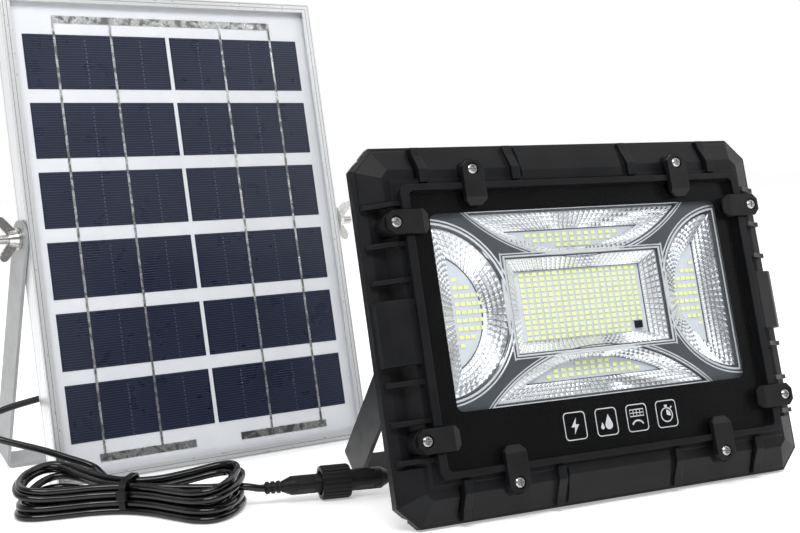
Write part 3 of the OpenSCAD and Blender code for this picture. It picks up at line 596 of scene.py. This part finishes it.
def hank_point(turn):
    """Place on the coil after so many turns; it runs clockwise seen from above, from the neck's rear."""
    index = min(int(turn), len(HANK_TURNS) - 2)
    ease = max(0.0, (turn - index - 0.55) / 0.45)
    ease = ease * ease * (3 - 2 * ease)
    here, after = HANK_TURNS[index], HANK_TURNS[index + 1]
    half, neck, lobe, height, rise = [a + (b - a) * ease for a, b in zip(here, after)]
    angle = math.tau * (0.25 - turn)
    spread = math.cos(angle) ** 2
    return in_hank(half * math.cos(angle), math.sin(angle) * (neck + lobe * spread),
                   height + rise * spread * (0.5 + 0.5 * math.sin(angle)))


def hank_line(steps_a_turn=24):
    count = (len(HANK_TURNS) - 1) * steps_a_turn
    return [hank_point(i / steps_a_turn) for i in range(count + 1)]


def make_cords():
    """The panel's cable with its coil, and the lamp head's short tail."""
    route = ([Vector(p) for p in PANEL_ROUTE] + [in_hank(*p) for p in INTO_COIL] + hank_line()
             + [in_hank(*p) for p in OUT_OF_COIL] + [Vector(p) for p in LINK_ROUTE])
    long_line = smooth_line([CENTRING + p for p in route], 2.5)
    tail_line = smooth_line([CENTRING + Vector(p) for p in LAMP_ROUTE], 3)
    panel_cord = add_cord("panel_cord", long_line, CABLE_D, "sheath")
    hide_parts("cable_from_panel", "cable_hank", "cable_to_connector")
    tie = make_tie()
    lamp_cord = add_cord("lamp_cord", tail_line, CABLE_D, "sheath")
    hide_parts("cable_from_lamp")


def rounded_loop(w, h, r, steps=6):
    """Points of a rounded rectangle about the middle, anticlockwise."""
    points = []
    for cx, cy, start in ((1, 1, 0), (-1, 1, 90), (-1, -1, 180), (1, -1, 270)):
        for i in range(steps + 1):
            a = math.radians(start + 90 * i / steps)
            points.append((cx * (w / 2 - r) + r * math.cos(a), cy * (h / 2 - r) + r * math.sin(a)))
    return points


TIE_W = 28.4
TIE_H = 18.4
TIE_T = 1.1
TIE_R = 6.5
TIE_HALF = 1.9
# The tie's head: half-length along the coil, out from the strap, up from the strap's top, bevel
HEAD_HALF = 3
HEAD_OUT = (-3.2, 0.5)
HEAD_UP = (-1, 4.5)
HEAD_BEVEL = 0.6


def make_tie():
    """The strap round the coil's neck, with its head."""
    build = Build()
    inner = rounded_loop(TIE_W, TIE_H, TIE_R)
    outer = rounded_loop(TIE_W + 2 * TIE_T, TIE_H + 2 * TIE_T, TIE_R + TIE_T)
    mid = TIE_H / 2 + TIE_T
    ring = [[(x, a, b + mid) for a, b in loop] for x, loop in
            ((-TIE_HALF, inner), (-TIE_HALF, outer), (TIE_HALF, outer), (TIE_HALF, inner))]
    for a, b in zip(ring, ring[1:] + ring[:1]):
        build.strip(a, b)
    outs = [out - TIE_W / 2 for out in HEAD_OUT]
    build.box(-HEAD_HALF, HEAD_HALF, *outs, *(mid + up for up in HEAD_UP), HEAD_BEVEL)
    place = Matrix.Translation((CENTRING + HANK_AT) * MM) @ turn_z(HANK_TURN) @ Matrix.Scale(MM, 4)
    tie = add_piece("hank_tie", build.verts, build.faces, place, "moulded")
    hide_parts("cable_tie")
    return tie


make_cords()
dress_cad_nodes()


# ---------------------------------------------------------------- reflector facets

def arc(cx, cy, r, a0, a1, count):
    return [(cx + r * math.cos(math.radians(a0 + (a1 - a0) * i / count)),
             cy + r * math.sin(math.radians(a0 + (a1 - a0) * i / count))) for i in range(count)]


def straight(a, b, count):
    return [(a[0] + (b[0] - a[0]) * i / count, a[1] + (b[1] - a[1]) * i / count) for i in range(count)]


def bowl_loop(chord, centre, r, chord_steps, arc_steps):
    """Chord and arc of a bowl-shaped cup opening upward from the middle of the optics."""
    half = math.degrees(math.acos((chord - centre) / r)) if abs(chord - centre) < r else 0
    corner = (r * math.sin(math.radians(half)), chord)
    start = -90 - (180 - half)
    return (straight((corner[0], chord), (-corner[0], chord), chord_steps)
            + arc(0, centre, r, start, start + 2 * (180 - half), arc_steps))


def box_loop(w, h, across, up):
    x, y = w / 2, h / 2
    return (straight((x, y), (-x, y), across) + straight((-x, y), (-x, -y), up)
            + straight((-x, -y), (x, -y), across) + straight((x, -y), (x, y), up))


def centre_wall(w):
    """The centre cup's wall, from its front at 0 to its rear at 1."""
    return box_loop(112 - 20 * w, 58 - 15 * w, 30, 15)


def long_wall(w):
    """The wall of the cup above the centre one."""
    return bowl_loop(57 - 11 * w, 140.8, 113.8 - 7 * w, 38, 42)


def side_wall(w):
    """The wall of a cup beside the centre one, drawn as if it opened upward."""
    return bowl_loop(104 - 13.5 * w, 108.5, 51.5 - 14.5 * w, 24, 34)


# Each cup's wall, its rows of prisms, and how a point of the wall is placed on the lamp head
CUPS = {
    "centre": (centre_wall, 4, lambda x, y: (x, y)),
    "top": (long_wall, 4, lambda x, y: (x, y)),
    "bottom": (long_wall, 4, lambda x, y: (x, -y)),
    "left": (side_wall, 5, lambda x, y: (-y, x)),
    "right": (side_wall, 5, lambda x, y: (y, x)),
}
FACET_H = 1.5
FACET_FILL = 0.92
# Where the prisms start and stop on the wall, from the cup's front at 0 to its rear at 1
FACET_SPAN = (0.07, 0.95)
# How far prisms and the lines of painted shade stand off the wall: towards the front, and sideways as a share
# of its slope
FACET_PROUD = 0.05
SHADE_LINE_PROUD = 0.08
WALL_INSET = 0.015


def wall_ring(kind, w, proud=FACET_PROUD):
    """The loop round a cup's wall at that height, a little in front of the wall."""
    loop, _, place = CUPS[kind]
    d = CUP_FRONT_D + (CUP_REAR_D - CUP_FRONT_D) * w - proud
    return [(*place(x, y), d) for x, y in loop(min(w + WALL_INSET, 1))]


def on_optics(points):
    return [(x, d, y + OPTIC_V) for x, y, d in points]


def make_facets():
    """Rows of small pyramids over the walls of each cup, and a line of painted shade above and below them,
    where a wall meets its rim and its board.
    """
    for kind, (_, rows, _) in CUPS.items():
        build, lines = Build(), Build()
        first, last = FACET_SPAN
        rings = [wall_ring(kind, first + (last - first) * row / rows) for row in range(rows + 1)]
        for lower, upper in zip(rings, rings[1:]):
            n = len(lower)
            for i in range(n):
                corners = [Vector(p) for p in (lower[i], lower[(i + 1) % n], upper[(i + 1) % n], upper[i])]
                middle = sum(corners, Vector()) / 4
                corners = [middle + (c - middle) * FACET_FILL for c in corners]
                side = (corners[1] - corners[0]).cross(corners[3] - corners[0])
                lift = side.normalized() * FACET_H if side.length > 1e-6 else Vector()
                lift = -lift if lift.z > 0 else lift
                build.add(on_optics(corners + [middle + lift]), [(0, 1, 4), (1, 2, 4), (2, 3, 4), (3, 0, 4)])
        # Painted shade: dark strips in the plate's grey along each wall's front and rear edges.
        for low, high in ((0, first), (last, 1)):
            lines.strip(*(on_optics(wall_ring(kind, w, SHADE_LINE_PROUD)) for w in (low, high)))
        add_piece(f"facets_{kind}", build.verts, build.faces, LAMP, "facet")
        add_piece(f"cup_shade_lines_{kind}", lines.verts, lines.faces, LAMP, "plate")


# A rim's section: outward from the cup's edge, and forward of the plate, in millimetres
RIM_SECTION = ((0.1, 0.0), (0.2, 1.2), (0.7, 1.7), (1.3, 1.7), (1.7, 1.1), (2.1, 0.7), (2.5, 1.1),
               (2.9, 1.4), (3.5, 1.4), (3.9, 0.0))
# The step in a wall's w that moves its loop about a millimetre outward
RIM_GAIN = {"centre": 0.1, "top": 0.11, "bottom": 0.11, "left": 0.07, "right": 0.07}
# Half the space in which the centre cup's rim cuts the others
CENTRE_HALF = (57.0, 30.0)
# Beads that flare from the centre cup's corners, and a bead's section: across it, and forward of the plate
EARS = (((57.5, 31), (61, 33.5), (64, 37.5), (65.5, 42)), ((59, 26), (64, 28.5), (68.5, 32.5), (71, 37.5)))
BEAD_SECTION = ((-1.2, 0), (-0.9, 0.9), (0, 1.4), (0.9, 0.9), (1.2, 0))
BEAD_TAPER = 0.6


def make_rims():
    """Bright double rims round the cups; the side cups' rims stop where the centre cup cuts them."""
    for kind, (loop, _, place) in CUPS.items():
        build = Build()
        rings = []
        for out, rise in RIM_SECTION:
            rings.append([(*place(x, y), CUP_FRONT_D - rise) for x, y in loop(-out * RIM_GAIN[kind])])
        for inner, outer in zip(rings, rings[1:]):
            n = len(inner)
            for i in range(n):
                quad = [inner[i], inner[(i + 1) % n], outer[(i + 1) % n], outer[i]]
                clear = all(abs(x) > CENTRE_HALF[0] or abs(y) > CENTRE_HALF[1] for x, y, _ in quad)
                if kind == "centre" or clear:
                    build.add(on_optics(quad), [(0, 1, 2, 3)])
        if kind == "centre":
            for sx, sy in ((1, 1), (1, -1), (-1, 1), (-1, -1)):
                for ear in EARS:
                    add_bead(build, smooth_line([(sx * x, sy * y, 0) for x, y in ear], 1.5))
        add_piece(f"rim_{kind}", build.verts, build.faces, LAMP, "rim")


def add_bead(build, line):
    """A half-round bead lying on the plate along the line."""
    sides = []
    for i, p in enumerate(line):
        along = line[min(i + 1, len(line) - 1)] - line[max(i - 1, 0)]
        across = Vector((-along.y, along.x, 0)).normalized()
        taper = 1 - BEAD_TAPER * i / (len(line) - 1)
        sides.append([(*(p + across * w * taper).xy, CUP_FRONT_D - rise * taper)
                      for w, rise in BEAD_SECTION])
    for a, b in zip(sides, sides[1:]):
        build.strip(on_optics(a), on_optics(b), False)


# ---------------------------------------------------------------- LEDs

# A chip's width, height and thickness, and its phosphor's margins and half-thickness
CHIP = (3.3, 2.35, 0.7)
CHIP_MARGINS = (0.2, 0.15)
PHOSPHOR_HALF = 0.1
CENTRE_PITCH = (4.85, 3.25)
LONG_PITCH = 5.4
SIDE_PITCH = (3.9, 4.9)


def chip_rows(kind):
    """Middles of the chips of a board, from the middle of the optics."""
    if kind == "centre":
        across, up = CENTRE_PITCH
        places = [((i - 8.5) * across, (j - 6) * up) for i in range(18) for j in range(13)]
        return [p for p in places if not (p[0] > 32 and p[1] < -13)]
    if kind in ("top", "bottom"):
        flip = 1 if kind == "top" else -1
        rows = ((13, 43.2), (11, 39.9), (5, 36.6))
        return [((i - (n - 1) / 2) * LONG_PITCH, flip * y) for n, y in rows for i in range(n)]
    flip = 1 if kind == "right" else -1
    counts = (1, 3, 5, 5, 5, 5, 5, 3, 1)
    across, up = SIDE_PITCH
    return [(flip * (87.4 - i * across), (4 - row) * up) for row, n in enumerate(counts) for i in range(n)]


def make_chips():
    for kind in CUPS:
        frames, lights = Build(), Build()
        for x, y in chip_rows(kind):
            w, h, t = CHIP
            mx, my = CHIP_MARGINS
            face = CUP_REAR_D - t
            v = OPTIC_V + y
            frames.box(x - w / 2, x + w / 2, face, CUP_REAR_D, v - h / 2, v + h / 2, 0.15)
            lights.box(x - w / 2 + mx, x + w / 2 - mx, face - PHOSPHOR_HALF, face + PHOSPHOR_HALF,
                       v - h / 2 + my, v + h / 2 - my, 0.08)
        add_piece(f"chip_frames_{kind}", frames.verts, frames.faces, LAMP, "mask_white")
        add_piece(f"chip_phosphor_{kind}", lights.verts, lights.faces, LAMP, "phosphor")


# ---------------------------------------------------------------- printed border and icons

PRINT_D = GLASS_REAR_D - 0.15
GLASS_SIZE = (234.6, 159.6)
GLASS_R = 3
WINDOW_R = 4.5
WINDOW_DROP = 0.5


def make_print():
    """The black border printed on the inner face of the glass."""
    outer = [(x, y + LAMP_MID_V) for x, y in rounded_loop(*GLASS_SIZE, GLASS_R, 8)]
    inner = [(x, y + OPTIC_V - WINDOW_DROP) for x, y in rounded_loop(*WINDOW, WINDOW_R, 8)]
    build = Build()
    build.strip([(x, PRINT_D, v) for x, v in inner], [(x, PRINT_D, v) for x, v in outer])
    add_piece("glass_print", build.verts, build.faces, LAMP, "print_black")


ICON_X = (-27.5, -5, 17.4, 39.5)
ICON_V = 45.3
ICON_D = PRINT_D - 0.1
# An icon's frame, outside and inside: width, height, corner radius
ICON_OUTER = (15.4, 16.6, 2.6)
ICON_INNER = (14.2, 15.4, 2.1)


class Ink(Build):
    """Flat white print, drawn about an icon's middle."""

    def __init__(self, x):
        super().__init__()
        self.x = x

    def at(self, p):
        return (self.x + p[0], ICON_D, ICON_V + p[1])

    def fill(self, outline):
        self.add([self.at(p) for p in outline], [tuple(range(len(outline)))])

    def ring(self, outer, inner):
        self.strip([self.at(p) for p in inner], [self.at(p) for p in outer])

    def stroke(self, line, width, closed=False):
        left, right = [], []
        n = len(line)
        for i, p in enumerate(line):
            a = Vector(line[(i - 1) % n] if closed or i else line[0])
            b = Vector(line[(i + 1) % n] if closed or i < n - 1 else line[-1])
            side = Vector((a.y - b.y, b.x - a.x)).normalized() * width / 2
            left.append(self.at((p[0] + side.x, p[1] + side.y)))
            right.append(self.at((p[0] - side.x, p[1] - side.y)))
        self.strip(left, right, closed)


def drop_loop(cx, cy, r):
    return arc(cx, cy, r, 150, 390, 16) + [(cx, cy + 2.4 * r)]


def icon_bolt(ink):
    ink.fill([(1.2, 5), (-2.8, -0.6), (-0.4, -0.6)])
    ink.fill([(-0.4, -0.6), (0.4, 0.8), (1.2, 5)])
    ink.fill([(0.4, 0.8), (2.8, 0.8), (-1.2, -5), (-0.4, -0.6)])


def icon_drops(ink):
    ink.fill(drop_loop(1.4, -1.9, 2.7))
    ink.fill(drop_loop(-3.3, -2.9, 1.25))


def icon_panel(ink):
    ink.stroke([(-5, 1), (5, 1), (5, 5), (-5, 5)], 0.6, True)
    for x in (-2.4, 0, 2.4):
        ink.stroke([(x, 1), (x, 5)], 0.45)
    ink.stroke([(-5, 3), (5, 3)], 0.45)
    ink.stroke([(4.6 * math.cos(math.radians(a)), -6.2 + 4.6 * math.sin(math.radians(a)))
                for a in range(30, 151, 12)], 1.0)


def icon_timer(ink):
    ink.stroke(arc(0, -0.6, 4.2, 0, 360, 28), 0.7, True)
    ink.fill([(-1.1, 4.2), (1.1, 4.2), (1.1, 5.4), (-1.1, 5.4)])
    ink.fill([(0, -0.6)] + arc(0, -0.6, 3, 90, -30, 10))
    ink.stroke([(3.2, 3.2), (4.4, 4.2)], 0.9)


def make_icons():
    for x, draw in zip(ICON_X, (icon_bolt, icon_drops, icon_panel, icon_timer)):
        ink = Ink(x)
        ink.ring(rounded_loop(*ICON_OUTER), rounded_loop(*ICON_INNER))
        draw(ink)
        add_piece(f"icon_{draw.__name__[5:]}", ink.verts, ink.faces, LAMP, "print_white")


# ---------------------------------------------------------------- solar cells' print

CELL_W, CELL_H, CELL_PITCH, CELL_GAP, CELL_BOTTOM = 103, 37.5, 46.8, 3, 26.3
CELL_FRONT_D = 4.45
FINGER_PITCH = 1.7
FINGER_W = 0.28
FINGER_PROUD = 0.03
# How far the fingers keep from a cell's ends, from its foot, and from its head and foot together
FINGER_INSET = 1
FOOT_INSET = 0.9
UPRIGHT_INSET = 1.6
DASH_PITCH = 2.9
DASH_SIZE = (0.5, 1.5)
DASH_PROUD = 0.05
DASHED = ((-61.2, -21.1), (23.1, 64.3))


def make_cell_print():
    """Fine silver fingers across each cell, and the dashed pads between its ribbons."""
    fingers, dashes = Build(), Build()
    for row in range(6):
        v0 = CELL_BOTTOM + row * CELL_PITCH
        for side, pads in zip((-1, 1), DASHED):
            x0 = side * (CELL_W + CELL_GAP) / 2 - CELL_W / 2
            count = int((CELL_H - UPRIGHT_INSET) / FINGER_PITCH) + 1
            for i in range(count):
                v = v0 + FOOT_INSET + i * FINGER_PITCH
                fingers.box(x0 + FINGER_INSET, x0 + CELL_W - FINGER_INSET,
                            CELL_FRONT_D - FINGER_PROUD, CELL_FRONT_D, v, v + FINGER_W)
            for x in pads:
                for i in range(int(CELL_H / DASH_PITCH)):
                    v = v0 + FOOT_INSET + i * DASH_PITCH
                    w, h = DASH_SIZE
                    dashes.box(x - w / 2, x + w / 2, CELL_FRONT_D - DASH_PROUD, CELL_FRONT_D, v, v + h)
    add_piece("cell_fingers", fingers.verts, fingers.faces, PANEL, "finger")
    add_piece("cell_pads", dashes.verts, dashes.faces, PANEL, "pad")


RAIL_DEPTH = 17
LINE_W = 0.35
# How far a line stands out of its rail, lies in it, and stops short of its ends
PROUD = 0.03
SUNK = 0.1
SHORT = 2
SIDE_SHADE_LINES = (1.6, RAIL_DEPTH - 2.2)
FRONT_SHADE_LINES = (0.8, 3.4)


def make_rail_lines():
    """Painted shade along the rails: two dark lines on each side face and two on the front, for the shade in
    grooves and corners.
    """
    build = Build()
    half, top = PANEL_SIZE[0] / 2, PANEL_SIZE[1]
    for side in (-1, 1):
        x0, x1 = sorted((side * (half - SUNK), side * (half + PROUD)))
        for d in SIDE_SHADE_LINES:
            build.box(x0, x1, d, d + LINE_W, SHORT, top - SHORT)
    for v in (-PROUD, top - SUNK):
        for d in SIDE_SHADE_LINES:
            build.box(-half + SHORT, half - SHORT, d, d + LINE_W, v, v + SUNK + PROUD)
    for inset in FRONT_SHADE_LINES:
        outer, inner = [[(x, -PROUD, y + top / 2) for x, y in rounded_loop(2 * (half - i), top - 2 * i, r, 4)]
                        for i, r in ((inset, 0.8), (inset + LINE_W, 0.5))]
        build.strip(inner, outer)
    add_piece("rail_lines", build.verts, build.faces, PANEL, "rail_shade")


make_facets()
make_rims()
make_chips()
make_print()
make_icons()
make_cell_print()
make_rail_lines()


# ---------------------------------------------------------------- floor, light

FLOOR_HALF = 6
FLOOR_GLOW = 0.38
# The way the camera looks, level with the floor, and the room's brightness behind it and ahead of it
AHEAD = (0.45, 0.89, 0)
ROOM = (0.22, 1.0)


def make_stage():
    """The pale floor; it glows a little, as a sheet of white does under studio lights."""
    mesh = bpy.data.meshes.new("floor")
    corners = [(x * FLOOR_HALF, y * FLOOR_HALF, 0) for x, y in ((-1, -1), (1, -1), (1, 1), (-1, 1))]
    mesh.from_pydata(corners, [], [(0, 1, 2, 3)])
    s = Shader("floor_pale", 0.8, Emission_Strength=FLOOR_GLOW, Emission_Color=(1, 1, 1, 1))
    s.colour(s.ramp(s.noise(3, 2), 0.3, 0.7), (0.93, 0.93, 0.93), (0.95, 0.95, 0.95))
    mesh.materials.append(s.mat)
    floor = bpy.data.objects.new("floor", mesh)
    bpy.context.scene.collection.objects.link(floor)


def add_area(name, place, target, size, power):
    """A soft light; places and sizes in metres, power in watts."""
    data = bpy.data.lights.new(name, "AREA")
    data.shape = "RECTANGLE"
    data.size, data.size_y = size
    data.energy = power
    light = bpy.data.objects.new(name, data)
    bpy.context.scene.collection.objects.link(light)
    light.location = place
    light.rotation_euler = (Vector(target) - Vector(place)).to_track_quat("-Z", "Y").to_euler()


def make_light():
    """A white room ahead of the camera, a dim one behind it, and four soft lights."""
    scene = bpy.context.scene
    world = bpy.data.worlds.new("studio")
    world.use_nodes = True
    nodes, links = world.node_tree.nodes, world.node_tree.links
    ahead = nodes.new("ShaderNodeVectorMath")
    ahead.operation = "DOT_PRODUCT"
    ahead.inputs[1].default_value = AHEAD
    links.new(nodes.new("ShaderNodeTexCoord").outputs["Generated"], ahead.inputs[0])
    fade = nodes.new("ShaderNodeMapRange")
    fade.interpolation_type = "SMOOTHSTEP"
    fade.inputs["From Min"].default_value = -0.5
    fade.inputs["From Max"].default_value = 0.5
    fade.inputs["To Min"].default_value, fade.inputs["To Max"].default_value = ROOM
    links.new(ahead.outputs["Value"], fade.inputs["Value"])
    links.new(fade.outputs["Result"], nodes["Background"].inputs["Strength"])
    nodes["Background"].inputs["Color"].default_value = (1, 1, 1, 1)
    scene.world = world
    scene.view_settings.view_transform = "Standard"
    add_area("key", (-0.75, -0.9, 1.5), (0, 0, 0.1), (0.9, 0.7), 14)
    add_area("front", (0.0, -1.5, 1.9), (0, 0, 0.12), (1.3, 0.8), 16)
    add_area("fill", (1.5, -0.9, 0.9), (0, 0, 0.12), (0.6, 1.2), 4)
    add_area("rim", (0.3, 1.5, 1.3), (0, 0, 0.15), (1.6, 0.6), 3)


make_stage()
make_light()
